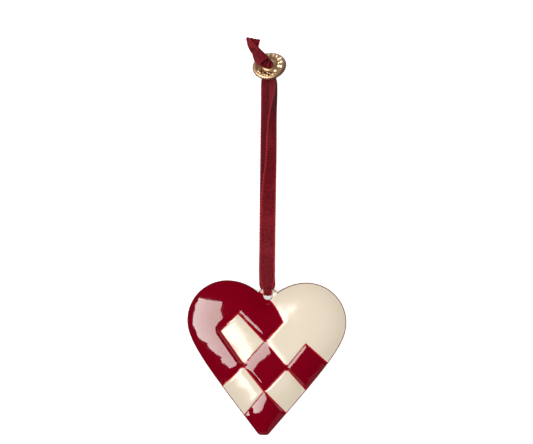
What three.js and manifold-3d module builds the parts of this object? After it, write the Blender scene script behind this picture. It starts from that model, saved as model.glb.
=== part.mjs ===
import * as THREE from "three";
import { mergeVertices } from "three/addons/utils/BufferGeometryUtils.js";
import Module from "manifold-3d";

// A hanging ornament: a pillowed metal heart in the pattern of a woven paper heart, lying on its
// back, with a ribbon looped through its eyelet and knotted on the face of a small brass disc.
// Millimetres. The heart's tip points along -Y, its face looks up, and the origin is at the middle
// of the heart's box on the surface that it lies on.

// The heart
const HEART_WIDTH = 60;
const RIM_THICKNESS = 1;
const RIM_WIDTH = 0.9; // flat lip left all round the pillow
const RIM_ROUNDING = 0.25;
const BACK_DEPTH = 2.6; // how far the back swells below the rim
const BACK_RUN = 7; // how far in from the rim the back reaches its flat
const PILLOW_HEIGHT = 5.4; // how far the front swells above the rim
const PILLOW_RUN = 11; // how far in from the rim the front reaches its full height
const GROOVE_DEPTH = 0.9;
const STRIP_ROUNDING = 1.2; // width of the rounded side of a strip that lies on top
const STRIP_DIVE = 3.6; // length over which a strip dips under its neighbour
const TAB_RADIUS = 4.5;
const EYELET_DIAMETER = 3.2;
const EYELET_WALL = 1.4; // metal between the eyelet and the top of the tab

// The ribbon
const RIBBON_WIDTH = 6;
const RIBBON_THICKNESS = 0.45;

// The brass disc
const DISC_DIAMETER = 12.75;
const DISC_THICKNESS = 0.8;
const DISC_HOLE = 4.5;
const DISC_BEAD = 0.75; // width of the raised ring at the edge and at the hole
const DISC_BEAD_HEIGHT = 0.3;
const STROKE_COUNT = 20;
const STROKE_WIDTH = 0.42;
const STROKE_HEIGHT = 0.28;
const DISC_TILT = 36; // degrees from lying flat
const DISC_LEAN = 15.8; // degrees from +Y towards -X, the way its face leans

const wasm = await Module();
wasm.setup();

function solidFrom(geometry) {
  const bare = geometry.clone();
  bare.deleteAttribute("normal");
  bare.deleteAttribute("uv");
  const merged = mergeVertices(bare, 1e-4);
  const vertProperties = merged.attributes.position.array;
  const triVerts = new Uint32Array(merged.index.array);
  return new wasm.Manifold(new wasm.Mesh({ numProp: 3, vertProperties, triVerts }));
}

function geometryFrom(solid) {
  const { vertProperties, triVerts } = solid.getMesh();
  const geometry = new THREE.BufferGeometry();
  geometry.setAttribute("position", new THREE.BufferAttribute(vertProperties, 3));
  geometry.setIndex(new THREE.BufferAttribute(triVerts, 1));
  geometry.computeVertexNormals();
  return geometry;
}

// The outline and the weave are drawn for a heart 60 wide, so each of their numbers is a share of
// the heart's width.
const share = HEART_WIDTH / 60;
const LOBE = { x: 15, y: 13.9, outer: 15, inner: 17.9 };
const TOP = LOBE.y + LOBE.outer;
const NOTCH = [3.6, 24.8];
const SIDE = [[26.4, 1.25], [17.9, -8.9], [7.9, -21.4]];
const TIP = [[2.14, -28.54], [1.69, -29.1], [0.97, -29.1]];

// The right half from the cleft to the tip, then mirrored. start draws the way out of the cleft.
function heartOutline(start, steps) {
  const right = new THREE.Path();
  start(right);
  const innerY = TOP - LOBE.inner;
  const from = Math.atan2(NOTCH[1] - innerY, NOTCH[0] - LOBE.x);
  right.absarc(LOBE.x, innerY, LOBE.inner, from, Math.PI / 2, true);
  right.absarc(LOBE.x, LOBE.y, LOBE.outer, Math.PI / 2, THREE.MathUtils.degToRad(-20), true);
  right.bezierCurveTo(...SIDE.flat());
  right.lineTo(...TIP[0]);
  right.quadraticCurveTo(...TIP.slice(1).flat());
  const half = right.getPoints(steps).map((p) => p.multiplyScalar(share));
  const mirrored = half.map((p) => new THREE.Vector2(-p.x, p.y)).reverse();
  const closed = [...half, ...mirrored];
  return closed.filter((p, i) => p.distanceTo(closed[(i + 1) % closed.length]) > 1e-3);
}

const tabY = NOTCH[1] * share - Math.sqrt(TAB_RADIUS ** 2 - (NOTCH[0] * share) ** 2);
const eyeletRadius = EYELET_DIAMETER / 2;
const eyeletY = tabY + TAB_RADIUS - EYELET_WALL - eyeletRadius;

function startAtTab(path) {
  const from = Math.atan2(NOTCH[1] - tabY / share, NOTCH[0]);
  path.absarc(0, tabY / share, TAB_RADIUS / share, Math.PI / 2, from, true);
}

// The pillow starts below the eyelet, so the tab stays flat.
function startBelowEyelet(path) {
  const cleft = (eyeletY - eyeletRadius - RIM_ROUNDING) / share + RIM_WIDTH;
  path.moveTo(0, cleft);
  path.lineTo(...NOTCH);
}

const outline = heartOutline(startAtTab, 8);
const pillowOutline = heartOutline(startBelowEyelet, 8);

// Distance in from an outline that stays smooth across the middle, where the nearest edge changes:
// an inverse-power mean of the distances to the whole outline.
function insetField(points) {
  const pieces = points.map((p, i) => {
    const q = points[(i + 1) % points.length];
    return { p, q, middle: p.clone().add(q).divideScalar(2), length: p.distanceTo(q) };
  });
  const line = new THREE.Line3();
  const nearest = new THREE.Vector3();
  return (at) => {
    let sum = 0;
    let least = Infinity;
    let inside = false;
    for (const { p, q, middle, length } of pieces) {
      const square = Math.max(middle.distanceToSquared(at), 1e-4);
      sum += length / (square * square);
      line.start.set(p.x, p.y, 0);
      line.end.set(q.x, q.y, 0);
      line.closestPointToPoint(new THREE.Vector3(at.x, at.y, 0), true, nearest);
      least = Math.min(least, Math.hypot(nearest.x - at.x, nearest.y - at.y));
      const crosses = p.y > at.y !== q.y > at.y;
      if (crosses && at.x < p.x + ((at.y - p.y) / (q.y - p.y)) * (q.x - p.x)) inside = !inside;
    }
    if (!inside) return -least;
    const mean = (sum / (Math.PI / 2)) ** (-1 / 3);
    const far = THREE.MathUtils.smoothstep(least, 0.8, 2);
    return least * (1 - far) + mean * far;
  };
}

const inset = insetField(heartOutline(startBelowEyelet, 40));

// The corners where the borders of the strips cross. Row u runs down to the right along a red
// strip, and column v runs down to the left along a cream strip.
const WEAVE = [
  [[-3.6, 24.8], [-10.9, 16.95], [-17.6, 9.9], [-25.2, 1.6]],
  [[5.9, 14.05], [-0.4, 6.4], [-8.2, -2.7], [-16.3, -11]],
  [[14.9, 5.9], [8, -3.1], [-0.1, -12.3], [-7.5, -22.2]],
  [[23.1, -1.1], [15.8, -11.6], [8.2, -20.6], [0, -31.2]],
].map((row) => row.map(([x, y]) => new THREE.Vector2(x, y).multiplyScalar(share)));
const STRIPS = 3;
const SHOULDER = 1.3 * share; // how far the top strip's edge arches out beside the cleft

function cellOf(t) {
  return THREE.MathUtils.clamp(Math.floor(t), 0, STRIPS - 1);
}

function weavePoint(u, v) {
  const [i, j] = [cellOf(u), cellOf(v)];
  const along = (a, b, t) => a.clone().lerp(b, t);
  const near = along(WEAVE[i][j], WEAVE[i][j + 1], v - j);
  const far = along(WEAVE[i + 1][j], WEAVE[i + 1][j + 1], v - j);
  const point = along(near, far, u - i);
  const arch = Math.max(0, 4 * u * (1 - u)) * Math.max(0, 1 - Math.abs(v)) * SHOULDER;
  return point.add(new THREE.Vector2(arch * 0.64, arch * 0.77));
}

// Borders between a strip on top and the strip that dips under it, each as its two ends, with the
// way to the side that dips. Red lies on top where u + v of the cell is even.
function borders() {
  const found = [];
  const onTop = (i, j) => (i + j) % 2 === 0;
  for (let i = 0; i < STRIPS; i += 1) {
    for (let j = 0; j < STRIPS; j += 1) {
      const creamLobe = i === 1 && j === 0;
      if (!creamLobe) found.push({ a: [i, j], b: [i + 1, j], dips: onTop(i, j) ? [0, -1] : [0, 1] });
      const redLobe = i === 0 && j !== 1;
      if (!redLobe) found.push({ a: [i, j], b: [i, j + 1], dips: onTop(i, j) ? [1, 0] : [-1, 0] });
    }
  }
  return found;
}

const BORDER_STEPS = 6;
const grooveLines = borders().map(({ a, b, dips }) => {
  const points = [];
  for (let k = 0; k <= BORDER_STEPS; k += 1) {
    const t = k / BORDER_STEPS;
    points.push(weavePoint(a[0] + (b[0] - a[0]) * t, a[1] + (b[1] - a[1]) * t));
  }
  const middle = [(a[0] + b[0]) / 2, (a[1] + b[1]) / 2];
  const beside = weavePoint(middle[0] + 0.3 * dips[0], middle[1] + 0.3 * dips[1]);
  return { points, towards: beside.sub(weavePoint(...middle)) };
});

function grooveAt(at) {
  let deepest = 0;
  for (const { points, towards } of grooveLines) {
    for (let k = 0; k < BORDER_STEPS; k += 1) {
      const [p, q] = [points[k], points[k + 1]];
      const run = q.clone().sub(p);
      const t = THREE.MathUtils.clamp(at.clone().sub(p).dot(run) / run.lengthSq(), 0, 1);
      const away = at.clone().sub(p.clone().addScaledVector(run, t));
      const width = away.dot(towards) > 0 ? STRIP_DIVE : STRIP_ROUNDING;
      deepest = Math.max(deepest, (1 - Math.min(away.length() / width, 1)) ** 2);
    }
  }
  return deepest * GROOVE_DEPTH;
}

const rimBottom = BACK_DEPTH;
const rimTop = rimBottom + RIM_THICKNESS;
const HIDDEN = 0.1; // how deep the pillow's outer fringe stays inside the rim plate

function frontHeight(at) {
  const depth = inset(at) - RIM_WIDTH;
  if (depth <= 0) return Math.max(rimTop + depth, rimBottom + 2 * HIDDEN);
  const rise = 1 - (1 - Math.min(depth / PILLOW_RUN, 1)) ** 2.2;
  const fade = Math.min(rise * 2, 1);
  return rimTop + PILLOW_HEIGHT * rise - grooveAt(at) * fade;
}

function backHeight(at) {
  const depth = inset(at) - RIM_WIDTH;
  if (depth <= 0) return rimBottom + HIDDEN;
  return rimBottom - BACK_DEPTH * (1 - (1 - Math.min(depth / BACK_RUN, 1)) ** 2);
}

// Lines of the net, close together beside each border, and on past it over the two lobes.
function netLines(before, after) {
  const within = [0, 0.05, 0.13, 0.27, 0.5, 0.73, 0.87, 0.95];
  const lines = [];
  for (let t = -before; t < -0.1; t += 0.2) lines.push(t);
  lines.push(-0.07);
  for (let cell = 0; cell < STRIPS; cell += 1) lines.push(...within.map((w) => cell + w));
  lines.push(STRIPS, STRIPS + after);
  return lines;
}

// A sheet over the net with the front's heights above and the back's below, closed at its edge.
function pillowGeometry() {
  const us = netLines(1.8, 0.35);
  const vs = netLines(2.4, 0.35);
  const positions = [];
  for (const height of [frontHeight, backHeight]) {
    for (const u of us) {
      for (const v of vs) {
        const at = weavePoint(u, v);
        positions.push(at.x, at.y, height(at));
      }
    }
  }
  const half = us.length * vs.length;
  const at = (i, j) => i * vs.length + j;
  const index = [];
  const quad = (a, b, c, d) => index.push(a, b, c, a, c, d);
  for (let i = 0; i + 1 < us.length; i += 1) {
    for (let j = 0; j + 1 < vs.length; j += 1) {
      const corners = [at(i, j), at(i, j + 1), at(i + 1, j + 1), at(i + 1, j)];
      quad(...corners);
      quad(...corners.map((corner) => corner + half).reverse());
    }
  }
  const edge = [];
  for (let i = 0; i + 1 < us.length; i += 1) edge.push(at(i, 0));
  for (let j = 0; j + 1 < vs.length; j += 1) edge.push(at(us.length - 1, j));
  for (let i = us.length - 1; i > 0; i -= 1) edge.push(at(i, vs.length - 1));
  for (let j = vs.length - 1; j > 0; j -= 1) edge.push(at(0, j));
  edge.forEach((a, k) => {
    const b = edge[(k + 1) % edge.length];
    quad(a, b, b + half, a + half);
  });
  const geometry = new THREE.BufferGeometry();
  geometry.setAttribute("position", new THREE.Float32BufferAttribute(positions, 3));
  geometry.setIndex(index);
  return geometry;
}

function rimPlate() {
  const geometry = new THREE.ExtrudeGeometry(new THREE.Shape(outline), {
    depth: RIM_THICKNESS - 2 * RIM_ROUNDING,
    bevelThickness: RIM_ROUNDING,
    bevelSize: RIM_ROUNDING,
    bevelOffset: -RIM_ROUNDING,
    bevelSegments: 1,
  });
  return geometry.translate(0, 0, rimBottom + RIM_ROUNDING);
}

function makeHeart() {
  const tall = rimTop + PILLOW_HEIGHT;
  const cutter = new THREE.ExtrudeGeometry(new THREE.Shape(pillowOutline), {
    depth: 2 * tall,
    bevelEnabled: false,
  });
  const pillow = solidFrom(pillowGeometry()).intersect(solidFrom(cutter.translate(0, 0, -tall / 2)));
  const eyelet = new THREE.CylinderGeometry(eyeletRadius, eyeletRadius, 4 * rimTop, 24);
  eyelet.rotateX(Math.PI / 2).translate(0, eyeletY, rimTop);
  const solid = solidFrom(rimPlate()).add(pillow).subtract(solidFrom(eyelet));
  const heart = new THREE.Mesh(
    geometryFrom(solid),
    new THREE.MeshStandardMaterial({ color: 0x8a001c, roughness: 0.12, metalness: 0 }),
  );
  heart.name = "heart";
  return heart;
}

// A straight bar of the given section, one long, bent along stations of the form
// [x, y, z, width, thickness, roll in degrees], with its width across the run.
function sweep(section, stations, steps) {
  const curve = new THREE.CatmullRomCurve3(stations.map(([x, y, z]) => new THREE.Vector3(x, y, z)));
  const bar = new THREE.ExtrudeGeometry(new THREE.Shape(section), {
    depth: 1,
    steps,
    bevelEnabled: false,
  });
  const between = (t, column) => {
    const place = t * (stations.length - 1);
    const k = Math.min(Math.floor(place), stations.length - 2);
    return THREE.MathUtils.lerp(stations[k][column], stations[k + 1][column], place - k);
  };
  const position = bar.attributes.position;
  for (let n = 0; n < position.count; n += 1) {
    const t = THREE.MathUtils.clamp(position.getZ(n), 0, 1);
    const forward = curve.getTangent(t);
    const side = new THREE.Vector3(1, 0, 0).addScaledVector(forward, -forward.x).normalize();
    side.applyAxisAngle(forward, THREE.MathUtils.degToRad(-between(t, 5)));
    const up = forward.clone().cross(side);
    const at = curve.getPoint(t);
    at.addScaledVector(side, position.getX(n) * between(t, 3));
    at.addScaledVector(up, position.getY(n) * between(t, 4));
    position.setXYZ(n, at.x, at.y, at.z);
  }
  bar.computeVertexNormals();
  return bar;
}

const FLAT_SECTION = [
  [0.5, -0.2], [0.5, 0.2], [0.42, 0.5], [-0.42, 0.5],
  [-0.5, 0.2], [-0.5, -0.2], [-0.42, -0.5], [0.42, -0.5],
].map(([x, y]) => new THREE.Vector2(x, y));
const ROUND_SECTION = new THREE.EllipseCurve(0, 0, 0.5, 0.5, 0, 2 * Math.PI).getPoints(12).slice(0, 12);

// The ribbon from the knot down its front strand, which stands on edge below the disc and turns
// over to lie flat, through the eyelet, and up its back strand: x, y, z, share of the full width,
// share of the full thickness, roll.
const RIBBON_ROUTE = [
  [-1.98, 109.8, 4.8, 0.46, 1.9, 0],
  [-1.72, 108.9, 3.65, 0.48, 1.9, 12],
  [-0.75, 107.2, 3.4, 0.66, 1.3, 55],
  [0.4, 104.9, 3.8, 0.94, 1, 80],
  [0.66, 102.5, 3.85, 1, 1, 82],
  [0.5, 99, 3.8, 1, 1, 77],
  [0.1, 95.5, 3.65, 1, 1, 69],
  [-0.25, 91.5, 3.5, 1, 1, 61],
  [-0.4, 87, 3.35, 1, 1, 55],
  [-0.4, 82, 3.25, 1, 1, 51],
  [-0.35, 77, 3.15, 1, 1, 49],
  [-0.45, 72, 2.95, 1, 1, 44],
  [-0.7, 68, 2.55, 1, 1, 34],
  [-0.8, 63.5, 2.25, 1, 1, 27],
  [-0.85, 58.5, 1.95, 1, 1, 20],
  [-0.85, 53, 1.6, 1, 1, 12],
  [-0.8, 47, 1.3, 1, 1, 5],
  [-0.7, 42, 1.35, 1, 1, 0],
  [-0.62, 37, 2, 1, 1, 0],
  [-0.5, 32.5, 3, 1, 1, 0],
  [-0.3, 29.5, 3.75, 0.9, 1.2, 0],
  [-0.1, 27.2, 4.25, 0.66, 1.5, 0],
  [0, 25.4, 4.3, 0.42, 1.8, 0],
  [0, 24.15, 3.6, 0.38, 1.8, 0],
  [0, 24.15, 2.6, 0.38, 1.8, 0],
  [0, 25.4, 1.85, 0.42, 1.7, 0],
  [-0.2, 27.2, 1.6, 0.66, 1.3, 0],
  [-0.4, 29.5, 1.15, 0.9, 1.1, 0],
  [-0.55, 32.5, 0.6, 1, 1, 0],
  [-0.65, 37, 0.35, 1, 1, 0],
  [-0.75, 43, 0.35, 1, 1, 0],
  [-0.9, 50, 0.35, 1, 1, 0],
  [-1.05, 57, 0.35, 1, 1, 0],
  [-1.2, 64, 0.35, 1, 1, 0],
  [-1.35, 71, 0.35, 1, 1, 0],
  [-1.48, 78, 0.35, 1, 1, 0],
  [-1.62, 85, 0.35, 1, 1, 0],
  [-1.75, 92, 0.35, 1, 1, 0],
  [-1.9, 98.5, 0.35, 1, 1, 0],
  [-2, 103.5, 0.4, 1, 1, 0],
  [-2.02, 106.6, 0.75, 0.9, 1.1, 0],
  [-2.02, 108.7, 1.6, 0.68, 1.4, 0],
  [-2.08, 110.1, 2.75, 0.48, 1.9, 0],
  [-2.3, 111, 3.95, 0.46, 1.9, 0],
].map(([x, y, z, width, thickness, roll]) => [
  x, y, z, width * RIBBON_WIDTH, thickness * RIBBON_THICKNESS, roll,
]);
const RIBBON_STEPS = 80;

// The knot's wrap over the disc's hole, its waist, and the folded tail that opens to its cut end:
// x, y, z, width, thickness, roll.
const KNOT_STATIONS = [
  [-2.25, 108.75, 7.1, 0.45, 0.2, 0],
  [-2.5, 109.3, 7.15, 0.72, 0.36, 0],
  [-3.1, 110.4, 6.8, 0.88, 0.5, 0],
  [-4.1, 111.9, 6.1, 1.04, 0.6, 0],
  [-5.6, 113.7, 4.9, 1.02, 0.56, 0],
  [-6.9, 115.3, 3.6, 0.82, 0.42, 0],
  [-8, 116.9, 2.4, 0.6, 0.3, 0],
  [-8.4, 118.6, 1.4, 0.74, 0.22, 0],
  [-8.5, 120.1, 0.85, 0.88, 0.19, 0],
].map(([x, y, z, width, thickness, roll]) => [
  x, y, z, width * RIBBON_WIDTH, thickness * RIBBON_WIDTH, roll,
]);
const KNOT_STEPS = 24;

function ribbonPiece(name, section, stations, steps) {
  const piece = new THREE.Mesh(
    sweep(section, stations, steps),
    new THREE.MeshStandardMaterial({ color: 0x781923, roughness: 0.75, metalness: 0 }),
  );
  piece.name = name;
  return piece;
}

function makeDisc() {
  const outer = DISC_DIAMETER / 2;
  const inner = DISC_HOLE / 2;
  const half = DISC_THICKNESS / 2;
  const raised = half + DISC_BEAD_HEIGHT;
  const slope = DISC_BEAD / 3;
  const profile = [
    [inner, -half],
    [outer - slope, -half],
    [outer, -half + slope],
    [outer, raised - slope],
    [outer - slope, raised],
    [outer - DISC_BEAD + slope, raised],
    [outer - DISC_BEAD, half],
    [inner + DISC_BEAD, half],
    [inner + DISC_BEAD - slope, raised],
    [inner, raised],
    [inner, -half],
  ].map(([r, h]) => new THREE.Vector2(r, h));
  const ring = new THREE.LatheGeometry(profile, 48);
  let solid = solidFrom(ring);

  const field = [inner + DISC_BEAD, outer - DISC_BEAD];
  const middle = (field[0] + field[1]) / 2;
  const sunk = half / 2;
  for (let k = 0; k < STROKE_COUNT; k += 1) {
    const reach = (field[1] - field[0]) * (k % 4 === 3 ? 0.3 : 0.68);
    const stroke = new THREE.BoxGeometry(reach, sunk + STROKE_HEIGHT, STROKE_WIDTH);
    stroke.translate(middle, half + (STROKE_HEIGHT - sunk) / 2, 0);
    stroke.rotateY((2 * Math.PI * k) / STROKE_COUNT);
    solid = solid.add(solidFrom(stroke));
  }
  const disc = new THREE.Mesh(
    geometryFrom(solid),
    new THREE.MeshStandardMaterial({ color: 0xc9a367, roughness: 0.3, metalness: 1 }),
  );
  disc.name = "brass_disc";
  return disc;
}

// The disc's far edge rests on the surface and its near edge is held up by the ribbon under it.
function placedDisc() {
  const tilt = THREE.MathUtils.degToRad(DISC_TILT);
  const lean = THREE.MathUtils.degToRad(DISC_LEAN);
  const face = new THREE.Vector3(
    -Math.sin(lean) * Math.sin(tilt),
    Math.cos(lean) * Math.sin(tilt),
    Math.cos(tilt),
  );
  const holder = new THREE.Group();
  holder.add(makeDisc());
  holder.quaternion.setFromUnitVectors(new THREE.Vector3(0, 1, 0), face);
  const height = (DISC_DIAMETER * Math.sin(tilt) + DISC_THICKNESS * Math.cos(tilt)) / 2;
  holder.position.set(-2.1, 110.2, height);
  return holder;
}

const ornament = new THREE.Group();
ornament.add(makeHeart());
ornament.add(placedDisc());
ornament.add(ribbonPiece("ribbon_loop", FLAT_SECTION, RIBBON_ROUTE, RIBBON_STEPS));
ornament.add(ribbonPiece("ribbon_knot", ROUND_SECTION, KNOT_STATIONS, KNOT_STEPS));

export default ornament;
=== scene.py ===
# %% [markdown]
# # A woven heart ornament
#
# The object is a pillowed metal heart, enamelled red and cream like a woven paper heart. A ribbon
# is looped through the eyelet in its cleft, and both strands run up through a small brass disc and
# end in a knot on its face. The ornament lies on its back and we look straight down on it.
#
# We work in metres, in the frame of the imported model: the heart's tip points along -Y, its face
# looks up, and the surface is at z = 0.

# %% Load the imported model
import math

import bpy
import numpy as np
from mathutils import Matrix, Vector


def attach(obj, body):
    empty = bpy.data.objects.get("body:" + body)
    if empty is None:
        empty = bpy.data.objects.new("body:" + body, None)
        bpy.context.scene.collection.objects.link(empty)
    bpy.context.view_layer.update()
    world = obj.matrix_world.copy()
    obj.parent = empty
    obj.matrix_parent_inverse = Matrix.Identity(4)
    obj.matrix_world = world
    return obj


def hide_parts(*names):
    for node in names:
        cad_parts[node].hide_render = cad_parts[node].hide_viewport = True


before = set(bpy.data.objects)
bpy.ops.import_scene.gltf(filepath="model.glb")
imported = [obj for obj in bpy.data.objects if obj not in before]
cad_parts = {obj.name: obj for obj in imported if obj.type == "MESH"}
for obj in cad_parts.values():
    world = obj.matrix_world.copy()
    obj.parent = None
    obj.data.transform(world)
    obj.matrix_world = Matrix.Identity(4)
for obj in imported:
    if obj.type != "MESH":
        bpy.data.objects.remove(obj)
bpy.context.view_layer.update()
MM = 0.001
print("nodes:", sorted(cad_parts))

# %% [markdown]
# ## The camera
#
# The photograph looks straight down, and the heart is turned 1.8 degrees clockwise in it, so the
# camera is rolled the other way. The rim of the heart is the plane that we scale: there one pixel
# of the picture is 0.3774 mm, because the 16 pixel ribbon is a 6 mm ribbon.

# %% Place the camera
PHOTO_WIDTH, PHOTO_HEIGHT = 533, 444
PIXEL = 0.3774 * MM
PHOTO_ORIGIN_PX = (265.7, 358.0)  # where the frame's origin is in the photograph
ROLL = math.radians(1.8)
RIM_PLANE = 3.1 * MM
CAMERA_HEIGHT = 0.8
SENSOR = 36.0

# from the frame's origin to the middle of the picture, along its sides and then in our frame
right = (PHOTO_WIDTH / 2 - PHOTO_ORIGIN_PX[0]) * PIXEL
up = (PHOTO_ORIGIN_PX[1] - PHOTO_HEIGHT / 2) * PIXEL
AIM = Vector((
    right * math.cos(ROLL) - up * math.sin(ROLL),
    right * math.sin(ROLL) + up * math.cos(ROLL),
    RIM_PLANE,
))
above = AIM + Vector((0, 0, CAMERA_HEIGHT))
bpy.ops.object.camera_add(location=above, rotation=(0, 0, ROLL))
camera = bpy.context.object
camera.name = "camera"
camera.data.sensor_width = SENSOR
camera.data.lens = SENSOR * CAMERA_HEIGHT / (PHOTO_WIDTH * PIXEL)
bpy.context.scene.camera = camera
print("camera over", [round(x / MM, 1) for x in AIM], "lens", round(camera.data.lens, 1))

# %% [markdown]
# ## Helpers for modelling
#
# An operator works on whatever is selected, and the loaded nodes still are, so each new piece
# starts from an empty selection. Curved pieces start as a grid, a circle or a sphere, whose points
# are then moved by a function of where they were.

# %% Selecting, editing and moving points
def start_piece():
    if bpy.context.object and bpy.context.object.mode != "OBJECT":
        bpy.ops.object.mode_set(mode="OBJECT")
    bpy.ops.object.select_all(action="DESELECT")


def only(piece):
    bpy.ops.object.select_all(action="DESELECT")
    piece.select_set(True)
    bpy.context.view_layer.objects.active = piece


def points_of(piece):
    points = np.empty(len(piece.data.vertices) * 3)
    piece.data.vertices.foreach_get("co", points)
    return points.reshape(-1, 3)


def move_points(piece, points):
    piece.data.vertices.foreach_set("co", np.ascontiguousarray(points, dtype=float).ravel())
    piece.data.update()


def edit_all():
    bpy.ops.object.mode_set(mode="EDIT")
    bpy.ops.mesh.select_all(action="SELECT")


def extrude_all(height, times=1):
    edit_all()
    for _ in range(times):
        bpy.ops.mesh.extrude_region_move(TRANSFORM_OT_translate={"value": (0, 0, height)})
    bpy.ops.object.mode_set(mode="OBJECT")


def face_outwards():
    edit_all()
    bpy.ops.mesh.normals_make_consistent(inside=False)
    bpy.ops.object.mode_set(mode="OBJECT")


def apply_modifier(piece, kind, **settings):
    only(piece)
    modifier = piece.modifiers.new(kind.lower(), kind)
    for name, value in settings.items():
        setattr(modifier, name, value)
    bpy.ops.object.modifier_apply(modifier=modifier.name)


def cut_with(piece, tool, operation):
    apply_modifier(piece, "BOOLEAN", object=tool, operation=operation, solver="MANIFOLD")
    bpy.data.objects.remove(tool)


def finish_piece(piece, name, material, angle=40):
    only(piece)
    bpy.ops.object.transform_apply(location=True, rotation=True, scale=True)
    bpy.ops.object.shade_smooth_by_angle(angle=math.radians(angle))
    piece.name = piece.data.name = name
    piece.data.materials.clear()
    piece.data.materials.append(material)
    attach(piece, "root")
    print(name, "has", len(piece.data.vertices), "points")
    return piece


def store(piece, name, values):
    layer = piece.data.attributes.new(name, "FLOAT", "POINT")
    layer.data.foreach_set("value", np.ascontiguousarray(values, dtype=np.float32))


# %% [markdown]
# ## Helpers for materials
#
# A material is a tree of nodes. Each helper here adds one node, links or fills its inputs, and
# returns the output that the next node needs, so that a material reads from its pattern to its
# colour.

# %% Adding and linking nodes
def add_node(tree, kind, values=None, **settings):
    node = tree.nodes.new(kind)
    for name, value in settings.items():
        setattr(node, name, value)
    for socket, value in (values or {}).items():
        node.inputs[socket].default_value = value
    return node


def maths(tree, operation, *values):
    node = add_node(tree, "ShaderNodeMath", operation=operation)
    for socket, value in zip(node.inputs, values):
        if isinstance(value, (int, float)):
            socket.default_value = value
        else:
            tree.links.new(value, socket)
    return node.outputs[0]


def ramp(tree, source, low, high, from_value=0.0, to_value=1.0):
    node = add_node(tree, "ShaderNodeMapRange", {
        "From Min": low, "From Max": high, "To Min": from_value, "To Max": to_value,
    }, interpolation_type="SMOOTHSTEP")
    tree.links.new(source, node.inputs["Value"])
    return node.outputs["Result"]


def mix_colours(tree, mask, first, second):
    """The first colour where the mask is 0 and the second where it is 1."""
    node = add_node(tree, "ShaderNodeMix", data_type="RGBA")
    tree.links.new(mask, node.inputs["Factor"])
    for name, value in (("A", first), ("B", second)):
        target = [i for i in node.inputs if i.name == name and i.type == "RGBA"][0]
        if isinstance(value, tuple):
            target.default_value = (*value, 1)
        else:
            tree.links.new(value, target)
    return [o for o in node.outputs if o.type == "RGBA"][0]


def attribute(tree, name):
    return add_node(tree, "ShaderNodeAttribute", attribute_name=name).outputs["Fac"]


def noise_value(tree, scale, detail=2.0, roughness=0.5):
    values = {"Scale": scale, "Detail": detail, "Roughness": roughness}
    place = add_node(tree, "ShaderNodeTexCoord")
    node = add_node(tree, "ShaderNodeTexNoise", values)
    tree.links.new(place.outputs["Object"], node.inputs["Vector"])
    return node.outputs["Fac"]


def bump(tree, shader, height, distance=1.0, strength=1.0):
    node = add_node(tree, "ShaderNodeBump", {"Distance": distance, "Strength": strength})
    tree.links.new(height, node.inputs["Height"])
    tree.links.new(node.outputs["Normal"], shader.inputs["Normal"])


def new_material(name):
    material = bpy.data.materials.new(name)
    material.use_nodes = True
    return material, material.node_tree, material.node_tree.nodes["Principled BSDF"]


# %% [markdown]
# ## Shared shader effects
#
# Two effects are used by more than one material, so each is a node group. `speckle` gives the few
# small pits and specks that dust leaves in enamel and metal. `unevenness` gives a slow wave, as
# hand-dipped enamel and stamped metal have, which makes the edge of a reflection wander.

# %% Build the node groups
def new_group(name, inputs, output):
    group = bpy.data.node_groups.new(name, "ShaderNodeTree")
    for socket, value in inputs.items():
        made = group.interface.new_socket(socket, in_out="INPUT", socket_type="NodeSocketFloat")
        made.default_value = value
    group.interface.new_socket(output, in_out="OUTPUT", socket_type="NodeSocketFloat")
    start = group.nodes.new("NodeGroupInput")
    end = group.nodes.new("NodeGroupOutput")
    return group, start, end


def speckle_group():
    group, start, end = new_group("speckle", {"Size": 0.1, "Scale": 400.0, "Share": 0.1}, "Mask")
    place = add_node(group, "ShaderNodeTexCoord")
    cells = add_node(group, "ShaderNodeTexVoronoi")
    chance = add_node(group, "ShaderNodeSeparateColor")
    group.links.new(place.outputs["Object"], cells.inputs["Vector"])
    group.links.new(start.outputs["Scale"], cells.inputs["Scale"])
    group.links.new(cells.outputs["Color"], chance.inputs["Color"])
    near = maths(group, "LESS_THAN", cells.outputs["Distance"], start.outputs["Size"])
    chosen = maths(group, "LESS_THAN", chance.outputs["Red"], start.outputs["Share"])
    group.links.new(maths(group, "MULTIPLY", near, chosen), end.inputs["Mask"])
    return group


def unevenness_group():
    group, start, end = new_group("unevenness", {"Scale": 150.0, "Depth": 0.0001}, "Height")
    place = add_node(group, "ShaderNodeTexCoord")
    wave = add_node(group, "ShaderNodeTexNoise", {"Detail": 1.5, "Roughness": 0.35})
    group.links.new(place.outputs["Object"], wave.inputs["Vector"])
    group.links.new(start.outputs["Scale"], wave.inputs["Scale"])
    height = maths(group, "MULTIPLY", wave.outputs["Fac"], start.outputs["Depth"])
    group.links.new(height, end.inputs["Height"])
    return group


def use_group(tree, group, **values):
    return add_node(tree, "ShaderNodeGroup", values, node_tree=group).outputs[0]


SPECKLE = speckle_group()
UNEVENNESS = unevenness_group()
print("node groups:", SPECKLE.name, "and", UNEVENNESS.name)

# %% [markdown]
# ## The ribbon
#
# One length of 6 mm ribbon makes the whole loop. From the knot it goes down through the disc as the
# front strand, which stands on its edge there and slowly turns over to lie flat, then through the
# eyelet, and back up as the rear strand on the surface. We give its route as stations, bend a long
# grid along them, and let Solidify make the cloth's thickness. Where the ribbon is drawn through a
# hole its width is laid in pleats instead of simply shrunk.

# %% The ribbon's route
RIBBON_WIDTH = 6 * MM
RIBBON_THICKNESS = 0.3 * MM
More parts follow.
